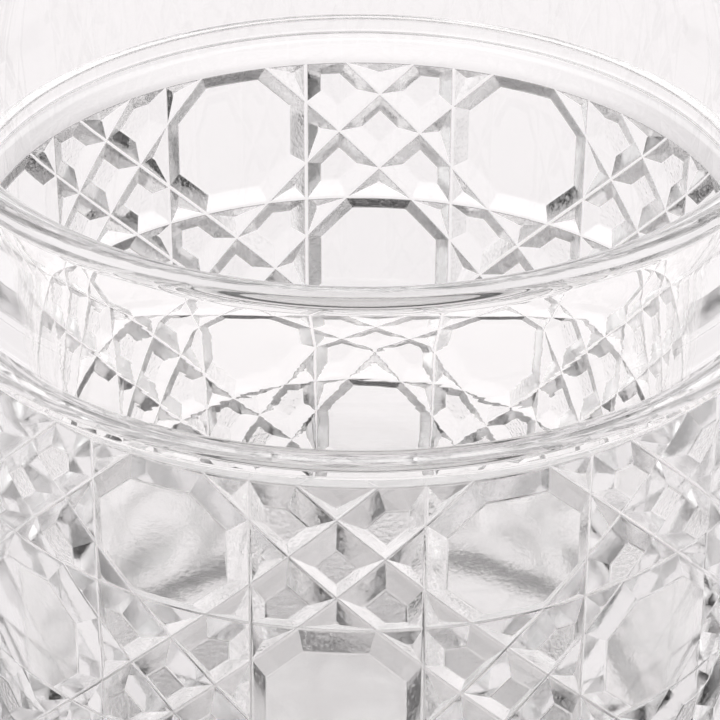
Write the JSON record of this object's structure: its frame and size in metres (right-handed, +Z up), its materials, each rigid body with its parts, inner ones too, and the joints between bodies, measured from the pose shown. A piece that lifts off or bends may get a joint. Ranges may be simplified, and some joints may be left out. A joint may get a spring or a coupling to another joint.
{
  "type": "whiskey tumbler",
  "caption": "Heavy clear cut-glass tumbler with a plain collar, a proud shoulder ring and a band of V-cut octagons and stars, for short drinks.",
  "frame": {"origin": "middle of the underside, in the plane the glass stands on", "axes": "+Z up through the open mouth, along the glass's axis; in the top row the middle of a star cell faces each of +X, -X, +Y and -Y"},
  "size_m": [0.0836, 0.0836, 0.091],
  "materials": {
    "glass": "clear, fire-polished, with slightly frosted cut facets"
  },
  "bodies": {
    "root": {"tumbler": "glass"}
  },
  "joints": []
}
